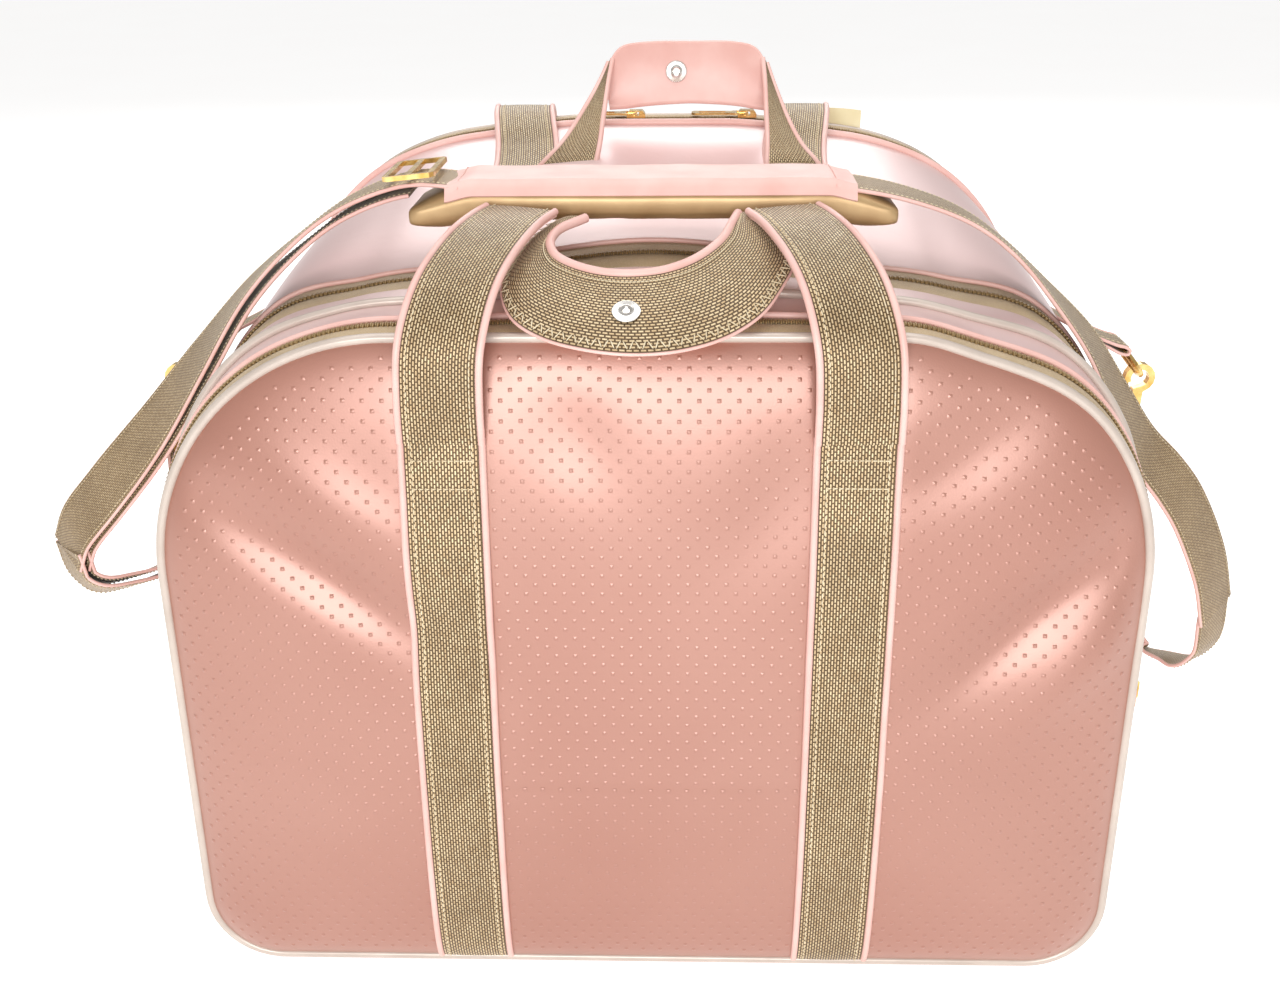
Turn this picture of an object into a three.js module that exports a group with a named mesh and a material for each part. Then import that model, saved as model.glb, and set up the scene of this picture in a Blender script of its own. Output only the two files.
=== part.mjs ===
// A soft roll-style sports bag: a D-shaped body with a front pocket, three zips,
// two webbing handles, and a padded shoulder strap on snap hooks.
// Millimetres. X to the bag's right, Y to the back, Z up. Origin under the main body, on its flat base.
import * as THREE from 'three';

// ---- driving dimensions ----
const HALF_W = 241.5;     // half the width over the piping
const PANEL_H = 348;      // height of the front panel, piping included
const TOP_R = 121.5;      // corner radius at the top of the panels
const FOOT_R = 41.5;      // corner radius at the base
const FRONT_Y = -206;     // outer face of the front panel, at the floor
const REAR_Y = 154;       // outer face of the rear panel
const SPLIT_Y = -75;      // middle of the expansion zip, between pocket and main body
const LEAN = 36;          // how far the front panel's top leans back
const ROOF_RISE = 0.131;  // rise of the roof per mm towards the back
const CROWN = 7;          // extra height along the middle of the roof
const FLAP_Z = 150;       // the flaps fold here
const SKIN = 2;           // gussets sit this far inside the piping's edge
const TOP_BOW = 6;        // the flat patterns' tops are bowed by this, and stuffing takes it out again
const SHOULDER_SAG = 16;  // how far the roof sags beside its middle, at SAG_Y
const SAG_Y = -60;
const SAG_END = 125;      // the sag has run out here, towards the back
const RIGHT_SAG = 6;      // the same at the right of the front panel
const WALL = 3;
const PIPE_R = 3.4;
const STRAP_W = 40;       // handle webbing over its bound edges
const STRAP_T = 2;
const STRAP_X = 95;       // handle webbing from the middle
const BELT_W = 38;        // shoulder strap
const BELT_T = 2.2;

const COLORS = {
  pearl: [0xe6b4aa, 0.35, 0.1], gusset: [0xebd3d3, 0.35, 0.1], piping: [0xc9b2a2, 0.3, 0.2],
  tape: [0xb89c78, 0.8, 0], webbing: [0xb39f7c, 0.75, 0.2], edging: [0xf2c7be, 0.5, 0],
  lining: [0xd8c6b2, 0.85, 0], gold: [0xd8b46a, 0.25, 1], rose: [0xd9a184, 0.3, 1],
  board: [0x6f6255, 0.8, 0], silver: [0xe8e6e2, 0.25, 1],
};

const bag = new THREE.Group();
function add(name, geometry, color) {
  const [hex, roughness, metalness] = COLORS[color];
  const mesh = new THREE.Mesh(geometry, new THREE.MeshStandardMaterial({ color: hex, roughness, metalness }));
  mesh.name = name;
  bag.add(mesh);
  return mesh;
}

// ---- the stuffed shape: flat patterns are stood up, leaned back and raised towards the rear ----
function stuffed(x, y, z) {
  const lean = LEAN * THREE.MathUtils.clamp((SPLIT_Y - y) / (SPLIT_Y - FRONT_Y), 0, 1);
  const atTop = y + lean;
  const grow = 1 + ROOF_RISE * Math.max(0, atTop - (FRONT_Y + LEAN)) / PANEL_H;
  const { clamp, smoothstep } = THREE.MathUtils;
  const side = Math.abs(x);
  const crown = (CROWN - 12 * smoothstep(side, 40, 165)) * smoothstep(y, -60, 120) * (z / PANEL_H) ** 6;
  const rising = clamp((y - FRONT_Y) / (SAG_Y - FRONT_Y), 0, 1);
  const falling = clamp((SAG_END - y) / (SAG_END - SAG_Y), 0, 1);
  const slack = rising * falling * smoothstep(side, 0, 140) * (1 - smoothstep(side, 150, 215));
  const slump = (1 - rising) * smoothstep(x, 112, 155) * (1 - smoothstep(x, 160, 215));
  const bow = TOP_BOW * Math.max(0, 1 - (x / (HALF_W - TOP_R)) ** 2) * Math.max(0,
    (z - FLAP_Z) / (PANEL_H - FLAP_Z));
  const sag = bow + (SHOULDER_SAG * slack + RIGHT_SAG * slump) * (z / PANEL_H) ** 2;
  return [x, y + lean * z / PANEL_H, z * grow + crown - sag];
}
function stuff(geometry) {
  const p = geometry.getAttribute('position');
  for (let i = 0; i < p.count; i++) p.setXYZ(i, ...stuffed(p.getX(i), p.getY(i), p.getZ(i)));
  return geometry;
}

// Outline of the bag, `off` inside its edge, as points in X and Z.
const CORNER = 9, FOOT = 4;
function upper(off, z0) {
  const w = HALF_W - off, cx = HALF_W - TOP_R, cz = PANEL_H - TOP_R, r = TOP_R - off;
  const pts = [[w, z0]];
  if (z0 < cz - 30) pts.push([w, (z0 + cz) / 2]);
  for (let i = 0; i <= CORNER; i++) {
    const a = Math.PI / 2 * i / CORNER;
    pts.push([cx + r * Math.cos(a), cz + r * Math.sin(a)]);
  }
  for (let x = 100; x >= 0; x -= 20) pts.push([x, PANEL_H - off + TOP_BOW * (1 - (x / cx) ** 2)]);
  const half = pts.slice(0, -1).reverse().map(([x, z]) => [-x, z]);
  return pts.concat(half);
}
function lower(off, z0) {
  const w = HALF_W - off, cx = HALF_W - FOOT_R, r = FOOT_R - off;
  const pts = [[-w, z0]];
  for (let i = 0; i <= FOOT; i++) {
    const a = Math.PI / 2 * i / FOOT;
    pts.push([-cx - r * Math.cos(a), FOOT_R - r * Math.sin(a)]);
  }
  return pts.concat(pts.slice().reverse().map(([x, z]) => [-x, z]));
}
const ring = (off) => upper(off, 150).concat(lower(off, 150).slice(1, -1));
const shapeOf = (pts) => new THREE.Shape(pts.map(([x, z]) => new THREE.Vector2(x, z)));

// A shape in X and Z carried from y0 to y1.
function along(shape, y0, y1, steps = 1) {
  const g = new THREE.ExtrudeGeometry(shape, { depth: y1 - y0, bevelEnabled: false, steps,
    curveSegments: 6 });
  return g.rotateX(Math.PI / 2).translate(0, y1, 0);
}
function band(part, a, b, y0, y1, steps, z0) {   // a strip of the gusset, from a to b inside the edge
  if (part === 'ring') {
    const s = shapeOf(ring(a));
    s.holes.push(new THREE.Path(ring(b).map(([x, z]) => new THREE.Vector2(x, z))));
    return stuff(along(s, y0, y1, steps));
  }
  const line = part === 'upper' ? upper : lower;
  return stuff(along(shapeOf(line(a, z0).concat(line(b, z0).reverse())), y0, y1, steps));
}
class Track extends THREE.Curve {                // a path that turns only at its own points
  constructor(points) { super(); this.points = points.map((p) => new THREE.Vector3(...p)); }
  getPoint(t) {
    const at = t * (this.points.length - 1), i = Math.min(Math.floor(at + 1e-9), this.points.length - 2);
    return this.points[i].clone().lerp(this.points[i + 1], at - i);
  }
  getPointAt(u) { return this.getPoint(u); }
  getTangentAt(u) {
    const n = this.points.length - 1, i = Math.round(u * n);
    return this.points[Math.min(n, i + 1)].clone().sub(this.points[Math.max(0, i - 1)]).normalize();
  }
}
function cordAlong(points, r, sides = 7) {       // a round cord through stuffed points
  const disc = new THREE.Shape();
  for (let i = 0; i < sides; i++) {
    const a = 2 * Math.PI * i / sides;
    i ? disc.lineTo(r * Math.cos(a), r * Math.sin(a)) : disc.moveTo(r, 0);
  }
  return new THREE.ExtrudeGeometry(disc, { steps: points.length - 1, extrudePath: new Track(points) });
}

// ---- front pocket and rear wall, which mirror each other ----
const PIPE_OFF = PIPE_R + 0.1, PANEL_OFF = 2 * PIPE_R + 1;
function face(side, y0, y1, pipeY) {
  add(side + '_panel_lower', stuff(along(shapeOf(lower(PANEL_OFF, FLAP_Z - 0.2)), y0, y1)), 'pearl');
  add(side + '_panel_upper', stuff(along(shapeOf(upper(PANEL_OFF, FLAP_Z + 0.2)), y0, y1)), 'pearl');
  const at = (pts) => pts.map(([x, z]) => stuffed(x, pipeY, z));
  add(side + '_piping_lower', cordAlong(at(lower(PIPE_OFF, FLAP_Z - 0.4)), PIPE_R), 'piping');
  add(side + '_piping_upper', cordAlong(at(upper(PIPE_OFF, FLAP_Z + 0.4)), PIPE_R), 'piping');
}
face('front', FRONT_Y, FRONT_Y + 4, FRONT_Y + 4.2);
face('rear', REAR_Y - 4, REAR_Y, REAR_Y - 4.2);

add('pocket_gusset_lower', band('lower', SKIN, SKIN + WALL, -196.6, -100, 3, FLAP_Z - 0.2), 'gusset');
add('pocket_gusset_upper', band('upper', SKIN, SKIN + WALL, -180, -100, 5, FLAP_Z + 0.2), 'gusset');
add('pocket_zip_flap_tape', band('upper', 2.8, 4.2, -196.2, -189.4, 1, FLAP_Z + 0.4), 'tape');
add('pocket_zip_body_tape', band('upper', 2.8, 4.2, -189, -180.3, 1, FLAP_Z + 0.4), 'tape');
add('pocket_piping', cordAlong(upper(SKIN - 2.9, 30).map(([x, z]) => stuffed(x, -146.7, z)), 2.4), 'piping');
add('expansion_tape_front', band('ring', 2.8, 4.2, -99.7, SPLIT_Y - 0.2, 1), 'tape');
add('expansion_tape_rear', band('ring', 2.8, 4.2, SPLIT_Y + 0.2, -60.3, 1), 'tape');
add('expansion_bellows', band('ring', 5.8, 7, -98.6, -60.8, 3), 'lining');
add('pocket_divider', stuff(along(shapeOf(ring(5.6)), -116, -113)), 'lining');
add('main_gusset_upper', band('upper', SKIN, SKIN + WALL, -60, 125.6, 6, FLAP_Z + 0.2), 'gusset');
add('main_gusset_lower', band('lower', SKIN, SKIN + WALL, -60, 145.8, 3, FLAP_Z - 0.2), 'gusset');
add('main_zip_body_tape', band('upper', 2.8, 4.2, 126, 135.6, 1, FLAP_Z + 0.4), 'tape');
add('main_zip_flap_tape', band('upper', 2.8, 4.2, 136, 145.8, 1, FLAP_Z + 0.4), 'tape');

const plate = (x, y0, y1, z0, z1) =>
  new THREE.BoxGeometry(2 * x, y1 - y0, z1 - z0).translate(0, (y0 + y1) / 2, (z0 + z1) / 2);
add('base_panel', plate(190, -59, 143, 0, 1.6), 'piping');
add('base_board', plate(190, -54, 140, 9.5, 12.5), 'board');

// ---- handle webbing sewn to the panels ----
for (const [side, y0, y1, topZ] of [['front', FRONT_Y - 2.4, FRONT_Y - 0.4, 300], ['rear',
  REAR_Y + 0.4, REAR_Y + 2.4, 338]]) {
  for (const [hand, s] of [['left', -1], ['right', 1]]) {
    const strip = (z0, z1) => {
      const x0 = s * STRAP_X - STRAP_W / 2, x1 = x0 + STRAP_W;
      return stuff(along(shapeOf([[x0, z0], [x1, z0], [x1, z1], [x0, z1]]), y0, y1));
    };
    if (side === 'front') add(`front_strap_${hand}_lower`, strip(9, FLAP_Z - 0.3), 'webbing');
    add(`${side}_strap_${hand}_upper`, strip(FLAP_Z + 0.3, topZ), 'webbing');
  }
}

// A strip of webbing whose edge view is a line in (a, b); it is `width` across, and shifted by `shift`.
function ribbon(line, thick, width, steps = 1) {
  const left = [], right = [];
  line.forEach(([a, b], i) => {
    const [pa, pb] = line[Math.max(0, i - 1)], [na, nb] = line[Math.min(line.length - 1, i + 1)];
    const l = Math.hypot(na - pa, nb - pb), u = -(nb - pb) / l * thick / 2, v = (na - pa) / l * thick / 2;
    left.push([a + u, b + v]);
    right.push([a - u, b - v]);
  });
  const outline = right.concat(left.reverse());
  const g = new THREE.ExtrudeGeometry(shapeOf(outline), { depth: width, bevelEnabled: false, steps });
  return g.translate(0, 0, -width / 2);
}
const moved = (g, fn) => {
  const p = g.getAttribute('position');
  for (let i = 0; i < p.count; i++) p.setXYZ(i, ...fn(p.getX(i), p.getY(i), p.getZ(i)));
  return g;
};
function table(rows, t) {                        // linear look-up, rows of [t, value] with t rising
  let i = 1;
  while (i < rows.length - 1 && t > rows[i][0]) i++;
  const [[t0, v0], [t1, v1]] = [rows[i - 1], rows[i]];
  return v0 + (v1 - v0) * THREE.MathUtils.clamp((t - t0) / (t1 - t0), 0, 1);
}

// ---- front handle: free legs, and a grip folded down over the roof's front edge ----
const LEG_LINE = [[-176.3, 301], [-177, 336], [-174, 356], [-163, 370], [-147, 378], [-128, 383],
  [-109, 385.5], [-97, 386]];
const LEG_X = [[-176, 95], [-160, 88], [-130, 79], [-97, 66]];
const GRIP_Z = [[-188, 343], [-178, 349], [-165, 358], [-148, 367.5], [-130, 373.5], [-110, 377.5],
  [-96, 380]];
for (const [hand, s] of [['left', -1], ['right', 1]]) {
  // the ribbon is made in (y, z) with its width along its own Z, which becomes X
  add('front_leg_' + hand, moved(ribbon(LEG_LINE, STRAP_T, 36),
    (a, b, w) => [w + s * table(LEG_X, a), a, b]), 'webbing');
}
const GRIP_OUT = [[45, -99], [54, -118], [60, -135], [64.5, -152], [61.5, -166], [48, -178],
  [27, -185], [0, -187.5]];
const GRIP_IN = [[24, -99], [40, -112], [44, -124], [38, -138], [24, -146], [0, -148.5]];
const mirrored = (half) => half.concat(half.slice(0, -1).reverse().map(([x, y]) => [-x, y]));
const gripShape = shapeOf(mirrored(GRIP_OUT).concat(mirrored(GRIP_IN).reverse()));
const grip = new THREE.ExtrudeGeometry(gripShape, { depth: STRAP_T, bevelEnabled: false, steps: 1 });
add('front_grip', moved(grip, (x, y, z) => [x, y, z + table(GRIP_Z, y)]), 'webbing');

// ---- rear handle: patches folded forward over the zip, and a grip that stands ----
const REAR_LEG = [[157, 388], [154, 394], [147, 398.5], [135, 400.6], [120, 401.6], [104, 402]];
for (const [hand, s] of [['left', -1], ['right', 1]]) {
  add('rear_leg_' + hand, moved(ribbon(REAR_LEG, STRAP_T, 36),
    (a, b, w) => [w + s * 88, a, b]), 'webbing');
}
const REAR_OUT = [[106, 404], [88, 412], [70, 430], [60, 438], [40, 442], [0, 443.5]];
const REAR_IN = [[70, 404], [58, 408.5], [50, 409], [40, 406.5], [0, 405]];
function arch(out, inn, y0, y1) {
  return along(shapeOf(mirrored(out).concat(mirrored(inn).reverse())), y0, y1);
}
add('rear_grip', arch(REAR_OUT, REAR_IN, 107, 109), 'webbing');

// ---- shoulder strap: a band over the roof, with a hanging loop on each side ----
const BELT_Y = -62;
const BELT_RIGHT = [[0, 394], [70, 394], [100, 392], [130, 386], [160, 375], [184, 359], [210, 335],
  [237, 307],
  [259, 274], [277, 247], [294, 229], [308, 211], [328, 172], [337, 142]];
const DROP_RIGHT = [[337, 140.8], [337, 112], [326, 93], [309, 90], [299, 104], [293, 140], [288, 180],
  [282, 205], [280, 229.6]];
const BELT_LEFT = [[-0.5, 394], [-70, 394], [-98, 394], [-116, 395.4], [-132, 393], [-160, 382], [-188,
  363], [-219, 337], [-252, 300],
  [-287, 259], [-324, 219], [-345, 195], [-353, 178]];
const DROP_LEFT = [[-352.8, 175.6], [-349, 157], [-333, 143], [-312, 139], [-296, 147], [-287, 168],
  [-283, 198], [-280, 229.6]];
const HOOK_Y = -20;
// The belt turns its outer face a little to the front on its way down, and its inner run sits
// further back than the outer run, where the hook is.
function belt(line, width, thick, back) {
  const curve = new THREE.CatmullRomCurve3(line.map(([x, z]) => new THREE.Vector3(x, z, 0)), false,
    'centripetal');
  const path = curve.getSpacedPoints(Math.round(curve.getLength() / (back ? 9 : 17))).map((p) => [p.x, p.y]);
  return moved(ribbon(path, thick, width), (a, b, w) => {
    const inner = back ? 1 - THREE.MathUtils.smoothstep(Math.abs(a), 295, 345) : 0;
    const turn = 0.42 * THREE.MathUtils.smoothstep(Math.abs(a), 130, 220) * (1 - inner);
    return [a + Math.sign(a) * turn * w, BELT_Y + (HOOK_Y - BELT_Y) * inner + w, b];
  }).rotateX(0);
}
function flipped(g) {                            // turns the faces round after a mirroring move
  const p = g.getAttribute('position'), v = new THREE.Vector3(), w = new THREE.Vector3();
  for (let i = 0; i < p.count; i += 3) {
    v.fromBufferAttribute(p, i + 1); w.fromBufferAttribute(p, i + 2);
    p.setXYZ(i + 1, w.x, w.y, w.z); p.setXYZ(i + 2, v.x, v.y, v.z);
  }
  return g;
}
add('strap_right', flipped(belt(BELT_RIGHT, BELT_W, BELT_T, false)), 'webbing');
add('strap_left', flipped(belt(BELT_LEFT, BELT_W, BELT_T, false)), 'webbing');
add('strap_drop_right', flipped(belt(DROP_RIGHT, BELT_W, BELT_T, true)), 'webbing');
add('strap_drop_left', flipped(belt(DROP_LEFT, BELT_W, BELT_T, true)), 'webbing');

// ---- shoulder pad: a padded base under the strap and a sleeve over it ----
const PAD = [[-128, 373.5], [-90, 378], [90, 378], [128, 373.5], [128, 381.5], [90, 390.8], [-90,
  390.8], [-128, 381.5]];
add('shoulder_pad', along(shapeOf(PAD), -92, -28), 'tape');
const y0 = BELT_Y - BELT_W / 2 - 2, y1 = BELT_Y + BELT_W / 2 + 2;
const sleeve = new THREE.ExtrudeGeometry(shapeOf([[y0 - 1.4, 391.2], [y0, 391.2], [y0, 395.6], [y1,
  395.6], [y1, 391.2],
  [y1 + 1.4, 391.2], [y1 + 1.4, 397], [y0 - 1.4, 397]]), { depth: 190, bevelEnabled: false });
add('pad_sleeve', sleeve.applyMatrix4(new THREE.Matrix4().makeBasis(
  new THREE.Vector3(0, 1, 0), new THREE.Vector3(0, 0, 1), new THREE.Vector3(1, 0, 0)).setPosition(-95,
    0, 0)), 'edging');

// ---- metalware ----
// A frame with its own X, Y and Z: each small part is made flat, then set in place.
function set(g, origin, x, z) {
  const X = new THREE.Vector3(...x).normalize(), Z = new THREE.Vector3(...z).normalize();
  const Y = new THREE.Vector3().crossVectors(Z, X).normalize();
  return g.applyMatrix4(new THREE.Matrix4().makeBasis(X, Y, new THREE.Vector3().crossVectors(X,
    Y)).setPosition(...origin));
}
const box2 = (x0, y0, x1, y1) => [[x0, y0], [x1, y0], [x1, y1], [x0, y1]];
function plateWith(outline, holes, thick) {      // flat plate in its own XY, from z = 0
  const s = shapeOf(outline);
  for (const h of holes) s.holes.push(new THREE.Path(h.map(([x, y]) => new THREE.Vector2(x, y))));
  return new THREE.ExtrudeGeometry(s, { depth: thick, bevelEnabled: false, steps: 1 });
}
// Slide adjuster: a frame with two slots, over the strap's left end.
add('strap_adjuster', set(plateWith([[-13, -20], [-11, -22], [11, -22], [13, -20], [13, 20], [11, 22],
  [-11, 22], [-13, 20]],
  [box2(-10, -19.6, -1.6, 19.6), box2(1.6, -19.2, 10, 19.3)], 2.4), [-121, BELT_Y, 397.4], [1, 0, 0.1],
    [-0.1, 0, 1]), 'gold');

// Zip sliders with their pulls. Own X runs along the zip, own Z points out of the bag.
const SLIDER = [[-6, 0], [6, 0], [6, 2.4], [4.2, 4.6], [-4.2, 4.6], [-6, 2.4]];
const PULL = [[0.7, -6], [0.7, 6], [-8, 6], [-11, 4.4], [-34, 5.6], [-36, 3], [-36, -3], [-34, -5.6],
  [-11, -4.4], [-8, -6]];
function zipper(name, origin, x, z, color) {
  const body = plateWith(SLIDER, [box2(-2, 1.4, 2, 3.8)], 8).translate(0, 0, -4).rotateX(Math.PI / 2);
  add(name + '_slider', set(body, origin, x, z), 'gold');
  const pull = plateWith(PULL, [box2(-6.6, -4.6, -0.7, 4.6), box2(-31, -2.6, -14, 2.6)],
    1.2).translate(0, 0, 2);
  add(name + '_pull', set(pull, origin, x, z), color);
}
const onZip = (y, z, out) => { const [, b, c] = stuffed(240, y, z); return [HALF_W - 2.8 + out, b, c]; };
zipper('pocket_zip', onZip(-189.2, 162, 0.6), [0, 0.0899, 1], [1, 0, 0], 'rose');
zipper('expansion_zip', onZip(SPLIT_Y, 110, 0.6), [0, 0, 1], [1, 0, 0], 'gold');
const roofPattern = (x) => PANEL_H - 2.8 + TOP_BOW * (1 - (x / (HALF_W - TOP_R)) ** 2);
const roof = (x) => stuffed(x, 135.8, roofPattern(x))[2] + 0.8;
zipper('main_zip_left', [-14, 135.8, roof(0)], [1, 0, 0], [0, 0, 1], 'gold');
zipper('main_zip_right', [58, 135.8, roof(30)], [1, 0, 0], [0, 0, 1], 'gold');

// Side loops, D-rings and snap hooks, the same on both sides.
const RING_R = 11, WIRE = 1.8;
for (const [hand, s] of [['left', -1], ['right', 1]]) {
  const tab = ribbon([[222, 313.5], [234, 306], [250, 298.5], [262, 293.5]], 3, 26);
  const placed = moved(tab, (a, b, w) => [s * a, HOOK_Y + w, b]);
  add('side_tab_' + hand, s > 0 ? flipped(placed) : placed, 'webbing');
  const down = [s * 0.62, 0, -0.785], out = [s * 0.785, 0, 0.62];
  const at = (d, o = 0) => [s * 263.2 + down[0] * d + out[0] * o, HOOK_Y, 292.4 + down[2] * d + out[2] * o];
  add('d_ring_' + hand, set(new THREE.TorusGeometry(RING_R, WIRE, 8, 28), at(RING_R + 2.2), down, out),
    'gold');
  // The hook is made in (along, out), hanging straight down from the ring's lowest point.
  const bend = at(2 * RING_R + 2.2);
  const stem = shapeOf([[-2.8, -24], [2.8, -24], [2.8, -8.4], ...arcPts(8.6, -1.15, 3.55),
    ...arcPts(5.2, 3.55, -1.15), [-2.8, -6.4]]);
  add('hook_' + hand, set(new THREE.ExtrudeGeometry(stem, { depth: 5,
    bevelEnabled: false }).translate(0, 0, -2.5)
    , [bend[0] + s * 0.5, HOOK_Y, bend[2] - 2.2], [s, 0, 0], [0, -s, 0]), 'gold');
  add('hook_gate_' + hand, set(new THREE.BoxGeometry(2.2, 7, 4).translate(-6.9, -6.9, 0),
    [bend[0] + s * 0.5, HOOK_Y, bend[2] - 2.2], [s, 0, 0], [0, -s, 0]), 'rose');
  const eye = plateWith([[-21.5, 0], [-24, -2.5], [-24, -13.5], [-21.5, -16], [21.5, -16], [24, -13.5],
    [24, -2.5], [21.5, 0]],
    [box2(-20.6, -12.6, 20.6, -3.2)], 3).translate(0, 0, -1.5);
  add('hook_eye_' + hand, set(eye, [bend[0] + s * 0.5, HOOK_Y, bend[2] - 26.6], [0, s, 0], [s, 0, 0]),
    'gold');
}
function arcPts(r, a0, a1) {
  const n = 12, pts = [];
  for (let i = 0; i <= n; i++) {
    const a = a0 + (a1 - a0) * i / n;
    pts.push([r * Math.cos(a), r * Math.sin(a)]);
  }
  return pts;
}

export default bag;
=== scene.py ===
"""A soft D-shaped sports bag: pearl-coated panels and gussets, webbing handles, three zips,
and a padded shoulder strap on snap hooks. Lengths in the tables are millimetres."""
import math
import bpy
import numpy as np
from mathutils import Matrix, Vector


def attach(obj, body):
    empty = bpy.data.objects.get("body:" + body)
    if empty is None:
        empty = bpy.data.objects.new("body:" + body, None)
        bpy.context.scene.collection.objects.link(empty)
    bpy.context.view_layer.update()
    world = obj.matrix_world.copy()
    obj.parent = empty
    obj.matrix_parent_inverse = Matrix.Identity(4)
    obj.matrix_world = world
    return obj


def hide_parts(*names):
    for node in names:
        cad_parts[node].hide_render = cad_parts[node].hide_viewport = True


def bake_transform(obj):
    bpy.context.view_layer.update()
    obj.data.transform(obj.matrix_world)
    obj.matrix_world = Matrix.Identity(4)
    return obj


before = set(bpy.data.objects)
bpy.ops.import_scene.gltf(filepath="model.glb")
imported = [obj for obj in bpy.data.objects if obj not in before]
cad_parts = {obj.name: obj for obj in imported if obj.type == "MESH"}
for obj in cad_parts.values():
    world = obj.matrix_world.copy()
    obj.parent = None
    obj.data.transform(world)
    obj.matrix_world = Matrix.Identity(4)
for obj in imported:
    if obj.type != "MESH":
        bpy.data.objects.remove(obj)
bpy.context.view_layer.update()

MM = 0.001

# ---- the bag's driving sizes, as in its frame ----
HALF_W, PANEL_H, TOP_R, FOOT_R = 241.5, 348.0, 121.5, 41.5
FRONT_Y, REAR_Y, SPLIT_Y = -206.0, 154.0, -75.0
LEAN, ROOF_RISE, CROWN, FLAP_Z = 36.0, 0.131, 7.0, 150.0
PIPE_R, PIPE_OFF = 2.4, 4.4
SHOULDER_SAG, RIGHT_SAG, SAG_Y, SAG_END = 16.0, 6.0, -60.0, 125.0
# each zip: the middle of its coil, then the front and back edges of its tapes
POCKET_ZIP = (-188.0, -203.0, -180.0)
EXPANSION_ZIP = (SPLIT_Y, -99.5, -60.0)
MAIN_ZIP = (135.8, 125.6, 146.5)
ZIP_PITCH = 1.15
# seams and ribs that run over the arch, and the cloth they join
POCKET_RIB_Y, POCKET_SEAM_Y, MAIN_RIB_Y, SPLIT_SEAM_Y = -146.7, -178.5, 123.0, -59.5
CLOTH_T = 2.4
RIB_END_Z = FOOT_R + 2


# ---------------------------------------------------------------- camera and light
def place_camera():
    pitch, yaw, roll = math.radians(25.7), math.radians(-1.695), math.radians(-0.57)
    ahead = Vector((math.sin(yaw) * math.cos(pitch), math.cos(yaw) * math.cos(pitch), -math.sin(pitch)))
    side = Vector((math.cos(yaw), -math.sin(yaw), 0))
    up = side.cross(ahead)
    side_r = side * math.cos(roll) + up * math.sin(roll)
    up_r = up * math.cos(roll) - side * math.sin(roll)
    lens = bpy.data.cameras.new("studio_camera")
    lens.sensor_width, lens.lens = 36.0, 36.0 * 1250 / 1280
    lens.clip_start = 0.01
    camera = bpy.data.objects.new("studio_camera", lens)
    bpy.context.scene.collection.objects.link(camera)
    turn = Matrix((side_r, up_r, -ahead)).transposed().to_4x4()
    camera.matrix_world = Matrix.Translation((0.01095, -0.70742, 0.52053)) @ turn
    bpy.context.scene.camera = camera


def softbox(name, at, aim, size, power, tint=(1, 1, 1)):
    data = bpy.data.lights.new(name, "AREA")
    data.shape, data.size, data.size_y = "RECTANGLE", size[0], size[1]
    data.energy, data.color = power, tint
    lamp = bpy.data.objects.new(name, data)
    bpy.context.scene.collection.objects.link(lamp)
    lamp.location = at
    lamp.rotation_euler = (Vector(aim) - Vector(at)).to_track_quat("-Z", "Y").to_euler()


place_camera()
softbox("overhead_softbox", (0.0, 0.1, 1.9), (0.0, 0.0, 0.2), (1.6, 1.2), 15)
softbox("front_softbox", (-0.1, -2.3, 0.78), (0.0, -0.18, 0.3), (1.3, 0.5), 34)
softbox("back_softbox", (0.0, 2.2, 1.6), (0.0, 0.1, 0.3), (2.0, 1.0), 20)
world = bpy.data.worlds.new("studio_white")
bpy.context.scene.world = world
world.use_nodes = True
world.node_tree.nodes["Background"].inputs["Color"].default_value = (1.0, 0.99, 0.98, 1)
world.node_tree.nodes["Background"].inputs["Strength"].default_value = 0.52
bpy.context.scene.view_settings.view_transform = "Standard"


# ---------------------------------------------------------------- materials
def linear(hex_code, alpha=1.0):
    out = []
    for i in (1, 3, 5):
        c = int(hex_code[i:i + 2], 16) / 255
        out.append(c / 12.92 if c <= 0.04045 else ((c + 0.055) / 1.055) ** 2.4)
    return (*out, alpha)


def node(tree, kind, inputs=None, **settings):
    """Adds one node: its settings, and its inputs as values or as sockets to link from."""
    made = tree.nodes.new(kind)
    for key, value in settings.items():
        setattr(made, key, value)
    for key, value in (inputs or {}).items():
        socket = made.inputs[key]
        if isinstance(value, bpy.types.NodeSocket):
            tree.links.new(value, socket)
        else:
            socket.default_value = value
    return made


def new_material(name):
    mat = bpy.data.materials.new(name)
    mat.use_nodes = True
    tree = mat.node_tree
    tree.nodes.clear()
    shader = node(tree, "ShaderNodeBsdfPrincipled")
    node(tree, "ShaderNodeOutputMaterial", {"Surface": shader.outputs[0]})
    return mat, tree, shader


def ramp(tree, fac, stops):
    made = node(tree, "ShaderNodeValToRGB", {"Fac": fac})
    ends = made.color_ramp.elements
    while len(ends) < len(stops):
        ends.new(0.5)
    for end, (place, colour) in zip(ends, stops):
        end.position, end.color = place, colour
    return made.outputs["Color"]


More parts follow.
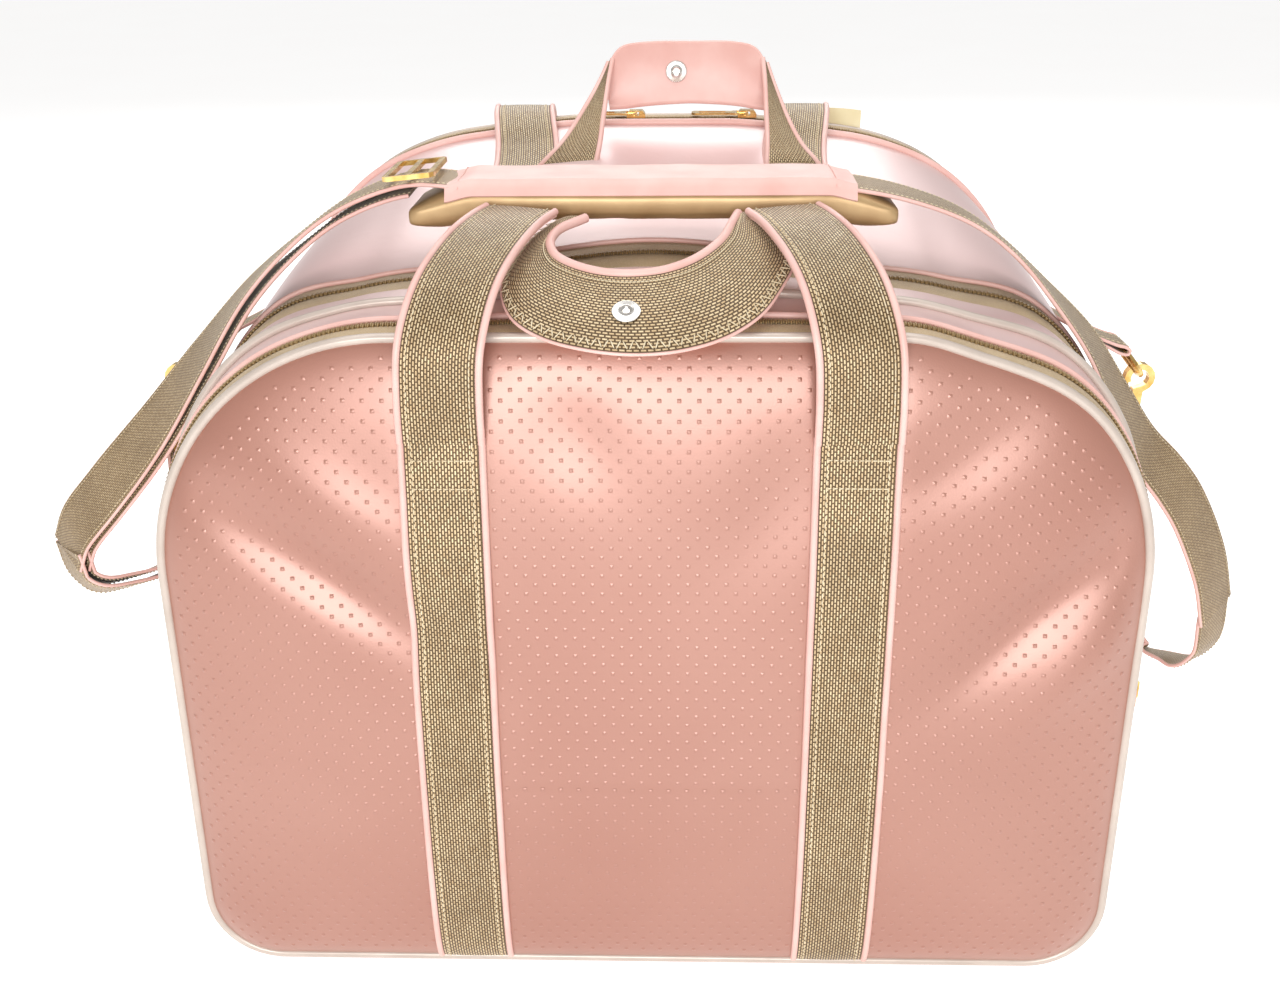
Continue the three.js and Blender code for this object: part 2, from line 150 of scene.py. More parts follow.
def pearl_polyurethane():
    """Pearl-pigmented polyurethane on cloth: broad soft glare, pinker where the film is thick,
    with a fine pebble grain."""
    mat, tree, shader = new_material("pearl_polyurethane")
    place = node(tree, "ShaderNodeTexCoord").outputs["Object"]
    drift = node(tree, "ShaderNodeTexNoise", {"Vector": place, "Scale": 7.0, "Detail": 3.0})
    colour = ramp(tree, drift.outputs["Fac"], [(0.3, linear("#A26B59")), (0.7, linear("#AA7665"))])
    # grain cells of about 0.9 mm
    grain = node(tree, "ShaderNodeTexVoronoi", {"Vector": place, "Scale": 1100.0})
    bump = node(tree, "ShaderNodeBump",
                {"Height": grain.outputs["Distance"], "Strength": 0.12, "Distance": 0.0003})
    patch = node(tree, "ShaderNodeTexNoise", {"Vector": place, "Scale": 30.0, "Detail": 4.0})
    rough = node(tree, "ShaderNodeMapRange",
                 {"Value": patch.outputs["Fac"], "To Min": 0.34, "To Max": 0.46})
    for key, value in {"Base Color": colour, "Roughness": rough.outputs[0],
                       "Normal": bump.outputs[0]}.items():
        tree.links.new(value, shader.inputs[key])
    shader.inputs["Metallic"].default_value = 0.3
    shader.inputs["Coat Weight"].default_value = 1.0
    shader.inputs["Coat IOR"].default_value = 1.6
    shader.inputs["Coat Roughness"].default_value = 0.4
    return mat


def smooth_pearl():
    """The gussets' smooth polyurethane: paler, satin, with a light crinkle."""
    mat, tree, shader = new_material("smooth_pearl_polyurethane")
    place = node(tree, "ShaderNodeTexCoord").outputs["Object"]
    drift = node(tree, "ShaderNodeTexNoise", {"Vector": place, "Scale": 6.0, "Detail": 2.0})
    colour = ramp(tree, drift.outputs["Fac"], [(0.3, linear("#D9B8B5")), (0.7, linear("#E0C5C2"))])
    # crinkles about 12 mm apart
    crinkle = node(tree, "ShaderNodeTexNoise",
                   {"Vector": place, "Scale": 80.0, "Detail": 3.0, "Distortion": 0.6})
    bump = node(tree, "ShaderNodeBump",
                {"Height": crinkle.outputs["Fac"], "Strength": 0.15, "Distance": 0.001})
    tree.links.new(colour, shader.inputs["Base Color"])
    tree.links.new(bump.outputs[0], shader.inputs["Normal"])
    shader.inputs["Metallic"].default_value = 0.25
    shader.inputs["Roughness"].default_value = 0.36
    shader.inputs["Coat Weight"].default_value = 0.3
    shader.inputs["Coat Roughness"].default_value = 0.3
    return mat


def coated_trim(name, low, high, rough, metallic=0.0):
    """Plain coated trim: a little colour drift, and a fine grain of about half a millimetre."""
    mat, tree, shader = new_material(name)
    place = node(tree, "ShaderNodeTexCoord").outputs["Object"]
    drift = node(tree, "ShaderNodeTexNoise", {"Vector": place, "Scale": 45.0, "Detail": 4.0})
    colour = ramp(tree, drift.outputs["Fac"], [(0.3, linear(low)), (0.7, linear(high))])
    grain = node(tree, "ShaderNodeTexNoise", {"Vector": place, "Scale": 1800.0})
    bump = node(tree, "ShaderNodeBump",
                {"Height": grain.outputs["Fac"], "Strength": 0.15, "Distance": 0.0002})
    tree.links.new(colour, shader.inputs["Base Color"])
    tree.links.new(bump.outputs[0], shader.inputs["Normal"])
    shader.inputs["Roughness"].default_value = rough
    shader.inputs["Metallic"].default_value = metallic
    return mat


def woven(name, light, mid, gap, cell, row, rough=0.62, metallic=0.15, height=0.0005):
    """Woven tape on its own UV map, in metres: staggered thread floats with dark gaps between them."""
    mat, tree, shader = new_material(name)
    uv = node(tree, "ShaderNodeTexCoord").outputs["UV"]
    place = node(tree, "ShaderNodeTexCoord").outputs["Object"]
    weave = node(tree, "ShaderNodeTexBrick", {
        "Vector": uv, "Color1": linear(light), "Color2": linear(mid), "Mortar": linear(gap), "Scale": 1.0,
        "Mortar Size": row * 0.3, "Mortar Smooth": 0.5, "Brick Width": cell, "Row Height": row}, offset=0.5)
    soil = node(tree, "ShaderNodeTexNoise",
                {"Vector": place, "Scale": 38.0, "Detail": 5.0, "Roughness": 0.6})
    shade = ramp(tree, soil.outputs["Fac"], [(0.3, linear("#B0A38E")), (0.62, linear("#FFFFFF"))])
    colour = node(tree, "ShaderNodeMix", {"Factor": 0.35, 6: weave.outputs["Color"], 7: shade},
                  data_type="RGBA", blend_type="MULTIPLY")
    lift = node(tree, "ShaderNodeMath", {0: 1.0, 1: weave.outputs["Fac"]}, operation="SUBTRACT")
    bump = node(tree, "ShaderNodeBump", {"Height": lift.outputs[0], "Strength": 0.8, "Distance": height})
    tree.links.new(colour.outputs[2], shader.inputs["Base Color"])
    tree.links.new(bump.outputs[0], shader.inputs["Normal"])
    shader.inputs["Roughness"].default_value = rough
    shader.inputs["Metallic"].default_value = metallic
    shader.inputs["Sheen Weight"].default_value = 0.15
    return mat


def plated_metal(name, low, high, rough):
    """Plated die-cast metal: mirror-like with faint polishing streaks and handling marks."""
    mat, tree, shader = new_material(name)
    place = node(tree, "ShaderNodeTexCoord").outputs["Object"]
    drift = node(tree, "ShaderNodeTexNoise", {"Vector": place, "Scale": 160.0, "Detail": 4.0})
    colour = ramp(tree, drift.outputs["Fac"], [(0.35, linear(low)), (0.65, linear(high))])
    worn = node(tree, "ShaderNodeMapRange",
                {"Value": drift.outputs["Fac"], "To Min": rough * 0.7, "To Max": rough * 1.5})
    marks = node(tree, "ShaderNodeTexNoise", {"Vector": place, "Scale": 900.0, "Detail": 2.0})
    bump = node(tree, "ShaderNodeBump",
                {"Height": marks.outputs["Fac"], "Strength": 0.05, "Distance": 0.0002})
    tree.links.new(colour, shader.inputs["Base Color"])
    tree.links.new(worn.outputs[0], shader.inputs["Roughness"])
    tree.links.new(bump.outputs[0], shader.inputs["Normal"])
    shader.inputs["Metallic"].default_value = 1.0
    return mat


PEARL = pearl_polyurethane()
GUSSET = smooth_pearl()
PIPING = coated_trim("greige_piping_vinyl", "#BDAFA4", "#CBBEB3", 0.3, 0.15)
EDGING = coated_trim("pink_edge_binding", "#E0B0A6", "#E8C0B7", 0.42)
PAD_SKIN = coated_trim("bronze_pad_vinyl", "#A98A60", "#C0A276", 0.38, 0.35)
THREAD = coated_trim("cotton_thread", "#CDBB9A", "#E4D6B8", 0.8)
PINK_THREAD = coated_trim("pink_thread", "#E2B0A6", "#EFC8C0", 0.8)
TAG = coated_trim("cream_tag_cloth", "#EBDDB0", "#F5EBC8", 0.8)
BOARD = coated_trim("base_board_fibre", "#5F5348", "#74675A", 0.8)
WEBBING = woven("metallic_webbing", "#E2CCA4", "#C8AC82", "#57401F", 0.0027, 0.0014, rough=0.45,
                metallic=0.3)
BELTING = woven("shoulder_strap_webbing", "#D2B88E", "#B79B70", "#6E5431", 0.0022, 0.0012, rough=0.5,
                metallic=0.25, height=0.0004)
TAPE = woven("zip_tape_weave", "#DCC5A2", "#D0B892", "#B2986F", 0.0014, 0.0008, height=0.00015)
LINING = woven("lining_twill", "#D9CBB9", "#CBBBA6", "#A8967F", 0.0012, 0.0006, rough=0.8, metallic=0.0,
               height=0.0001)
COIL = coated_trim("zip_coil_nylon", "#8D744E", "#A68B60", 0.35, 0.2)
GOLD = plated_metal("pale_gold_plate", "#D3A85C", "#EBCB86", 0.16)
ROSE = plated_metal("rose_gold_plate", "#CF8F6E", "#E4AE90", 0.16)
SNAP = plated_metal("nickel_snap", "#DAD6D0", "#F4F1EC", 0.25)


# ---------------------------------------------------------------- the stuffed shape
def smoothstep(t, a, b):
    s = np.clip((np.asarray(t, float) - a) / (b - a), 0, 1)
    return s * s * (3 - 2 * s)


def stuffed(x, y, z):
    """Where a point of the flat pattern goes once the bag is filled: leaned back in front, raised
    at the back, and sagging beside the roof's middle."""
    x, y, z = (np.asarray(c, float) for c in (x, y, z))
    out = np.abs(x)
    lean = LEAN * np.clip((SPLIT_Y - y) / (SPLIT_Y - FRONT_Y), 0, 1)
    grow = 1 + ROOF_RISE * np.maximum(0, y + lean - FRONT_Y - LEAN) / PANEL_H
    high = np.maximum(z, 0) / PANEL_H
    crown = (CROWN - 12 * smoothstep(out, 40, 165)) * smoothstep(y, -60, 120) * high ** 6
    rising = np.clip((y - FRONT_Y) / (SAG_Y - FRONT_Y), 0, 1)
    falling = np.clip((SAG_END - y) / (SAG_END - SAG_Y), 0, 1)
    slack = rising * falling * smoothstep(out, 0, 140) * (1 - smoothstep(out, 150, 215))
    slump = (1 - rising) * smoothstep(x, 112, 155) * (1 - smoothstep(x, 160, 215))
    sag = (SHOULDER_SAG * slack + RIGHT_SAG * slump) * high ** 2
    # the shoulders of the roof swell outwards a little where it is slackest
    swell = 1 + 0.03 * rising * falling * np.exp(-((z - 268) / 42) ** 2)
    return np.stack(np.broadcast_arrays(x * swell, y + lean * z / PANEL_H, z * grow + crown - sag), -1)


def even_line(points, n, closed=False):
    """n points at equal steps along a polyline."""
    p = np.asarray(points, float)
    if closed:
        p = np.vstack([p, p[:1]])
    step = np.r_[0, np.cumsum(np.linalg.norm(np.diff(p, axis=0), axis=1))]
    at = np.linspace(0, step[-1], n + 1)[:-1] if closed else np.linspace(0, step[-1], n)
    return np.stack([np.interp(at, step, p[:, i]) for i in range(p.shape[1])], -1)


def smooth_line(points, n):
    """A smooth curve through the points (centripetal), as n points at equal steps."""
    p = np.asarray(points, float)
    p = np.vstack([2 * p[0] - p[1], p, 2 * p[-1] - p[-2]])
    out = []
    for i in range(1, len(p) - 2):
        p0, p1, p2, p3 = p[i - 1:i + 3]
        k = [0.0]
        for a, b in ((p0, p1), (p1, p2), (p2, p3)):
            k.append(k[-1] + max(np.linalg.norm(b - a), 1e-6) ** 0.5)
        t = np.linspace(k[1], k[2], 24, endpoint=False)[:, None]
        a1 = (k[1] - t) / (k[1] - k[0]) * p0 + (t - k[0]) / (k[1] - k[0]) * p1
        a2 = (k[2] - t) / (k[2] - k[1]) * p1 + (t - k[1]) / (k[2] - k[1]) * p2
        a3 = (k[3] - t) / (k[3] - k[2]) * p2 + (t - k[2]) / (k[3] - k[2]) * p3
        b1 = (k[2] - t) / (k[2] - k[0]) * a1 + (t - k[0]) / (k[2] - k[0]) * a2
        b2 = (k[3] - t) / (k[3] - k[1]) * a2 + (t - k[1]) / (k[3] - k[1]) * a3
        out.append((k[2] - t) / (k[2] - k[1]) * b1 + (t - k[1]) / (k[2] - k[1]) * b2)
    return even_line(np.vstack(out + [p[-2][None]]), n)


def upper(off, z0, n):
    cx, cz, r = HALF_W - TOP_R, PANEL_H - TOP_R, TOP_R - off
    a = np.linspace(0, math.pi / 2, 40)
    right = np.vstack([[HALF_W - off, z0], np.stack([cx + r * np.cos(a), cz + r * np.sin(a)], -1)])
    return even_line(np.vstack([right, (right * [-1, 1])[::-1]]), n)


def lower(off, z0, n):
    cx, r = HALF_W - FOOT_R, FOOT_R - off
    a = np.linspace(0, math.pi / 2, 24)
    left = np.vstack([[off - HALF_W, z0], np.stack([-cx - r * np.cos(a), FOOT_R - r * np.sin(a)], -1)])
    return even_line(np.vstack([left, (left * [-1, 1])[::-1]]), n)


def around(off, n):
    return even_line(np.vstack([upper(off, FLAP_Z, 400), lower(off, FLAP_Z, 400)[1:-1]]), n, closed=True)


def inside(x, z, off=0.0):
    """How far a point of the panel is inside the outline, in mm."""
    x, z = np.abs(x), np.asarray(z, float)
    r = np.where(z > 120, TOP_R, FOOT_R)
    cx = HALF_W - r
    cz = np.where(z > 120, PANEL_H - TOP_R, FOOT_R)
    dx, dz = x - cx, np.where(z > 120, z - cz, cz - z)
    corner = np.hypot(np.maximum(dx, 0), np.maximum(dz, 0))
    d = r - np.where((dx > 0) | (dz > 0), corner, np.maximum(dx, dz))
    return d - off


# ---------------------------------------------------------------- making pieces
def deselect():
    bpy.ops.object.select_all(action="DESELECT")


def apply_all(piece):
    deselect()
    bpy.context.view_layer.objects.active = piece
    piece.select_set(True)
    for mod in list(piece.modifiers):
        bpy.ops.object.modifier_apply(modifier=mod.name)


def finish(piece, mats, smooth=35):
    for mat in mats:
        piece.data.materials.append(mat)
    deselect()
    bpy.context.view_layer.objects.active = piece
    piece.select_set(True)
    bpy.ops.object.shade_smooth_by_angle(angle=math.radians(smooth))
    return piece


def write_points(mesh, points):
    mesh.vertices.foreach_set("co", (np.asarray(points, float) * MM).ravel())
    mesh.update()


def cloth(name, nu, nv, place, mats, thick=0.0, away=(0, 0, 1), size=(1, 1), smooth=35):
    """A grid laid over a surface. place(u, v) gives its points; `away` says which side is the outer one:
    a direction, or the point that the surface faces away from. Its UV map is in metres over `size` mm."""
    deselect()
    bpy.ops.mesh.primitive_grid_add(x_subdivisions=nu, y_subdivisions=nv, size=1)
    piece = bpy.context.object
    piece.name = piece.data.name = name
    mesh = piece.data
    flat = np.empty(len(mesh.vertices) * 3)
    mesh.vertices.foreach_get("co", flat)
    flat = flat.reshape(-1, 3)
    u, v = flat[:, 0] + 0.5, flat[:, 1] + 0.5
    write_points(mesh, place(u, v))
    loops = np.empty(len(mesh.loops), int)
    mesh.loops.foreach_get("vertex_index", loops)
    layer = mesh.uv_layers.active or mesh.uv_layers.new(name="UVMap")
    layer.data.foreach_set("uv", np.stack([u[loops] * size[0] * MM, v[loops] * size[1] * MM], -1).ravel())
    centre = np.array([p.center for p in mesh.polygons])
    normal = np.array([p.normal for p in mesh.polygons])
    if isinstance(away, str):
        way = centre - np.array([0, 0, 0.17])
        way[:, 1] = 0
    else:
        way = np.array(away, float)
    if (normal * way).sum() < 0:
        mesh.flip_normals()
    if thick:
        shell = piece.modifiers.new("wall", "SOLIDIFY")
        shell.thickness, shell.offset = thick * MM, -1
        if len(mats) > 1:
            shell.material_offset = 1
        apply_all(piece)
    return finish(piece, mats, smooth)


def tube(name, points, radius, mats, closed=False, sides=2):
    """A round cord or rolled edge through points in mm."""
    curve = bpy.data.curves.new(name, "CURVE")
    curve.dimensions, curve.bevel_depth, curve.bevel_resolution = "3D", radius * MM, sides
    curve.use_fill_caps = not closed
    line = curve.splines.new("POLY")
    line.points.add(len(points) - 1)
    for spot, p in zip(line.points, points):
        spot.co = (*(np.asarray(p) * MM), 1)
    line.use_cyclic_u = closed
    piece = bpy.data.objects.new(name, curve)
    bpy.context.scene.collection.objects.link(piece)
    deselect()
    bpy.context.view_layer.objects.active = piece
    piece.select_set(True)
    bpy.ops.object.convert(target="MESH")
    piece = bpy.context.object
    piece.name = piece.data.name = name
    piece.data.materials.clear()
    return finish(piece, mats, 60)


def repeat(name, spots, along, across, size, mats, bevel=0.3):
    """One small rounded block, copied to every spot: size is its length, width and height in mm."""
    spots, along, across = (np.asarray(a, float) for a in (spots, along, across))
    along = along / np.linalg.norm(along, axis=1, keepdims=True)
    up = np.cross(along, across)
    up /= np.linalg.norm(up, axis=1, keepdims=True)
    side = np.cross(up, along)
    deselect()
    bpy.ops.mesh.primitive_cube_add(size=1)
    block = bpy.context.object
    bpy.ops.object.mode_set(mode="EDIT")
    bpy.ops.mesh.select_all(action="SELECT")
    bpy.ops.mesh.bevel(offset=bevel, offset_pct=0, segments=1, affect="EDGES")
    bpy.ops.object.mode_set(mode="OBJECT")
    body = np.array([v.co for v in block.data.vertices]) * size
    faces = [list(p.vertices) for p in block.data.polygons]
    bpy.data.objects.remove(block)
    points = (spots[:, None] + body[None, :, :1] * along[:, None] + body[None, :, 1:2] * side[:, None]
              + body[None, :, 2:] * up[:, None]).reshape(-1, 3)
    mesh = bpy.data.meshes.new(name)
    n = len(body)
    mesh.from_pydata((points * MM).tolist(), [],
                     [[i + k * n for i in f] for k in range(len(spots)) for f in faces])
    piece = bpy.data.objects.new(name, mesh)
    bpy.context.scene.collection.objects.link(piece)
    return finish(piece, mats, 50)


def interp(line, u):
    """Points along an evenly stepped line at u from 0 to 1."""
    at = np.linspace(0, 1, len(line))
    return np.stack([np.interp(u, at, line[:, i]) for i in range(line.shape[1])], -1)


def length(line):
    return float(np.linalg.norm(np.diff(line, axis=0), axis=1).sum())


def ribbon(name, middle, across, width, mats, thick=1.8, crown=0.4, step=4.0, smooth=40, nv=8, lift=None):
    """Webbing along `middle`, with unit vectors `across` it; its outer side is crowned a little."""
    mid, acr = np.asarray(middle, float), np.asarray(across, float)
    way = np.gradient(mid, axis=0)
    up = np.cross(acr, way)
    up /= np.linalg.norm(up, axis=1, keepdims=True)
    long = length(mid)

    def place(u, v):
        s = (v - 0.5) * 2
        c, a, n = interp(mid, u), interp(acr, u), interp(up, u)
        rise = crown * (1 - s ** 2) + (lift(u, s) if lift else 0)
        return c + a * (s * width / 2)[:, None] + n * np.asarray(rise)[:, None]

    piece = cloth(name, max(2, int(long / step)), nv, place, [], 0, size=(long, width))
    mesh = piece.data
    mesh.materials.clear()
    centre_up = interp(up, np.array([0.5]))[0]
    # faces look along `up` at the middle of the ribbon
    faces = np.array([p.center for p in mesh.polygons]) / MM
    near = np.argmin(np.linalg.norm(faces - interp(mid, np.array([0.5]))[0], axis=1))
    if np.dot(mesh.polygons[int(near)].normal, centre_up) < 0:
        mesh.flip_normals()
    shell = piece.modifiers.new("wall", "SOLIDIFY")
    shell.thickness, shell.offset = thick * MM, -1
    if len(mats) > 1:
        shell.material_offset = 1
    apply_all(piece)
    return finish(piece, mats, smooth)


def rides(body, *pieces):
    for piece in pieces:
        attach(piece, body)


def bends(a, b, z, *pieces, y=-190, spread=9):
    for piece in pieces:
        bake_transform(piece)


# ---------------------------------------------------------------- front and rear panels
def panel_puff(x, z, strap_pull=True):
    """How far the stuffed panel stands forward of its seam plane."""
    d = inside(x, z)
    puff = 12.5 * (1 - np.exp(-np.maximum(d - 4, 0) / 34)) - 2.2 * np.exp(-np.maximum(d - 6, 0) / 5)
    # soft folds that run in from the upper corners
    for cx, cz, angle, wide, long, deep in FOLDS:
        a = math.radians(angle)
        p = (x - cx) * math.cos(a) + (z - cz) * math.sin(a)
        q = -(x - cx) * math.sin(a) + (z - cz) * math.cos(a)
        puff = puff + deep * np.exp(-(q / wide) ** 2) * np.exp(-(p / long) ** 2) * np.clip(d / 20, 0, 1)
    if strap_pull:
        for sx in (-95, 95):
            puff = puff - 1.6 * np.exp(-((x - sx) / 17) ** 4)
    return puff


# soft folds of the front: middle x and z, angle, half width, half length, depth
FOLDS = [(-157, 233, -34, 14, 62, -6.5), (-138, 262, -34, 16, 50, 3.0), (185, 215, 41, 15, 60, -6.5),
         (207, 186, 45, 15, 45, 3.5), (140, 292, 34, 16, 40, -3.0), (-35, 300, -50, 20, 30, -2.5),
         (60, 268, 55, 24, 45, -3.0), (10, 110, 0, 60, 110, 1.8), (-160, 90, 65, 30, 70, 1.8),
         (160, 90, -60, 30, 80, 2.0)]


def panel_point(x, z, side, lift=0.0):
    """A point on the front (-1) or rear (1) panel's outer face."""
    base = stuffed(x, np.full(np.shape(x), FRONT_Y if side < 0 else REAR_Y), z)
    out = panel_puff(x, z) if side < 0 else 0.75 * panel_puff(-x, z)
    base[..., 1] += side * (out + lift)
    return base


def panel_grid(u, v, edge):
    z = edge + (PANEL_H - 2 * edge) * (0.5 - 0.5 * np.cos(np.pi * v)) * 0.5 + (PANEL_H - 2 * edge) * v * 0.5
    top_r, foot_r = TOP_R - edge, FOOT_R - edge
    dz = np.clip(z - (PANEL_H - TOP_R), 0, top_r)
    lo = np.clip(FOOT_R - z, 0, foot_r)
    w = HALF_W - edge - np.where(z > 150, top_r - np.sqrt(np.maximum(top_r ** 2 - dz ** 2, 0)),
                                 foot_r - np.sqrt(np.maximum(foot_r ** 2 - lo ** 2, 0)))
    return (2 * u - 1) * w, z


def make_panel(side):
    name = "front" if side < 0 else "rear"

    def place(u, v):
        x, z = panel_grid(u, v, 5.0)
        return panel_point(x, z, side)

    panel = cloth(name + "_panel", 200, 150, place, [PEARL, LINING], 2.4, away=(0, side, 0),
                  size=(480, 345), smooth=60)
    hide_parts(name + "_panel_lower", name + "_panel_upper")
    # embossed studs in a staggered grid
    pitch = 9.0
    spots, way = [], []
    rows = int(330 / (pitch * 0.5))
    for j in range(rows):
        z = 10 + j * pitch * 0.5 * 1.02
        for i in range(-27, 28):
            x = (i + 0.5 * (j % 2)) * pitch
            if inside(np.array([x]), np.array([z]))[0] < 12 or abs(abs(x) - 95) < 22 and z < 345:
                continue
            spots.append((x, z))
    s = np.array(spots)
    p = panel_point(s[:, 0], s[:, 1], side)
    px = panel_point(s[:, 0] + 1, s[:, 1], side) - p
    pz = panel_point(s[:, 0], s[:, 1] + 1, side) - p
    studs = repeat(name + "_embossing", p, px + pz, pz - px, (2.6, 2.6, 0.9), [PEARL], 0.44)
    piping_y = FRONT_Y + 2.6 if side < 0 else REAR_Y - 2.6
    ring = around(PIPE_OFF, 260)
    pipe = tube(name + "_piping", stuffed(ring[:, 0], piping_y, ring[:, 1]), PIPE_R, [PIPING], closed=True,
                sides=3)
    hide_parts(name + "_piping_lower", name + "_piping_upper")
    bodies = ("front_pocket", "front_flap") if side < 0 else ("main_body", "rear_flap")
    bends(*bodies, FLAP_Z if side < 0 else 168.3, panel, studs, pipe)
    return panel


make_panel(-1)
make_panel(1)


# ---------------------------------------------------------------- gussets, piping and zips
def gusset(name, part, y0, y1, off, mats, thick=2.4, z0=0.0, puff=0.0, n=(150, 16), folds=0.0):
    line = upper(0, z0, 500) if part == "upper" else lower(0, z0, 500) if part == "lower" else None
    if part == "ring":
        line = np.vstack([around(0, 500), around(0, 500)[:1]])

    def place(u, v):
        q = interp(line, u)
        side = np.gradient(line, axis=0)
        out = np.stack([side[:, 1], -side[:, 0]], -1)
        out = interp(out / np.linalg.norm(out, axis=1, keepdims=True), u)
        y = y0 + (y1 - y0) * v
        swell = puff * np.sin(np.pi * np.clip(v, 0, 1)) ** 0.7
        if folds:
            s = u * length(line)
            swell = swell + folds * np.sin(np.pi * v) * (
                np.sin(s / 37 + 2.1 * v) * 0.5 + np.sin(s / 83 - 3.0 * v + 1) * 0.5)
        q = q + out * (swell - off)[:, None]
        return stuffed(q[:, 0], y, q[:, 1])

    return cloth(name, n[0], n[1], place, mats, thick, away="axis", size=(length(line), y1 - y0), smooth=60)


def arch_line(off, y, z0, n, part="upper"):
    q = {"upper": upper, "lower": lower}[part](off, z0, n)
    return stuffed(q[:, 0], y, q[:, 1])


def zip_line(name, y_mid, front, back, z0, bodies, ring=False):
    """Both tapes of a zip, and its coil as single teeth, every other one on each tape."""
    part = "ring" if ring else "upper"
    made = []
    for tag, (a, b), body in (("front_tape", (front, y_mid), bodies[0]),
                              ("rear_tape", (y_mid, back), bodies[1])):
        tape = gusset(name + "_" + tag, part, a, b, 2.2, [TAPE], 1.0, z0, n=(150, 6), puff=0.5)
        rides(body, tape)
        made.append(tape)
    off = 1.4
    line = (around(off, 900) if ring else upper(off, z0 + 2, 900))
    path = stuffed(line[:, 0], y_mid, line[:, 1])
    count = int(length(path) / ZIP_PITCH)
    teeth = even_line(path, count)
    way = np.gradient(teeth, axis=0)
    ahead = np.tile([0.0, 1.0, 0.0], (count, 1))
    for k, body in enumerate(bodies):
        pick = slice(k, None, 2)
        shift = np.array([0, (-0.7, 0.7)[k], 0])
        coil = repeat(name + ("_coil_front", "_coil_rear")[k], teeth[pick] + shift, ahead[pick], way[pick],
                      (4.2, 1.25, 1.9), [COIL], 0.3)
        rides(body, coil)
        made.append(coil)
    return made


t = zip_line("pocket_zip", *POCKET_ZIP, FLAP_Z, ("front_flap", "front_pocket"))
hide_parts("pocket_zip_flap_tape")
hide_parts("pocket_zip_body_tape")
t = zip_line("expansion_zip", *EXPANSION_ZIP, 0, ("front_pocket", "main_body"), ring=True)
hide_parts("expansion_tape_front")
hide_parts("expansion_tape_rear")
t = zip_line("main_zip", *MAIN_ZIP, FLAP_Z, ("main_body", "rear_flap"))
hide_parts("main_zip_body_tape")
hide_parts("main_zip_flap_tape")

strip = gusset("pocket_strip_upper", "upper", -180, -100, 2, [GUSSET, LINING], CLOTH_T, FLAP_Z, puff=1.5,
               n=(170, 18), folds=0.5)
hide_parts("pocket_gusset_upper")
foot = gusset("pocket_strip_lower", "lower", -203, -100, 2, [GUSSET, LINING], CLOTH_T, FLAP_Z, puff=1.0,
              n=(170, 18))
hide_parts("pocket_gusset_lower")
roof = gusset("main_roof", "upper", -60, 125.6, 2, [GUSSET, LINING], CLOTH_T, FLAP_Z, puff=3.0, n=(190, 44),
              folds=1.6)
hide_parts("main_gusset_upper")
tray = gusset("main_tray", "lower", -60, 147, 2, [GUSSET, LINING], CLOTH_T, FLAP_Z, puff=0.6, n=(170, 30))
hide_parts("main_gusset_lower")
rides("front_pocket", strip, foot)
rides("main_body", roof, tray)

cord = tube("pocket_rib_piping", arch_line(-1.0, POCKET_RIB_Y, RIB_END_Z, 260), 2.3, [PIPING], sides=3)
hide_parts("pocket_piping")
seam = tube("pocket_seam_piping", arch_line(1.0, POCKET_SEAM_Y, FLAP_Z, 240), 1.6, [EDGING], sides=3)
rides("front_pocket", cord, seam)
rear_rib = tube("main_rib_piping", arch_line(0.8, MAIN_RIB_Y, FLAP_Z, 240), 2.4, [EDGING], sides=3)
split_rib = tube("split_seam_piping", arch_line(1.2, SPLIT_SEAM_Y, RIB_END_Z, 260), 1.3, [EDGING], sides=3)
rides("main_body", rear_rib, split_rib)

bellows = gusset("expansion_bellows_cloth", "ring", -98.6, -60.8, 6.0, [LINING], 0.9, n=(170, 16))
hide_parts("expansion_bellows")
rides("main_body", bellows)


def divider_place(u, v):
    x, z = panel_grid(u, v, 6.0)
    p = stuffed(x, np.full(x.shape, -113.5), z)
    p[:, 1] += 1.2 * np.sin(x / 40) * np.sin(z / 60)
    return p


divider = cloth("pocket_divider_cloth", 70, 60, divider_place, [LINING], 1.2, away=(0, -1, 0),
                size=(470, 340))
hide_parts("pocket_divider")
rides("front_pocket", divider)


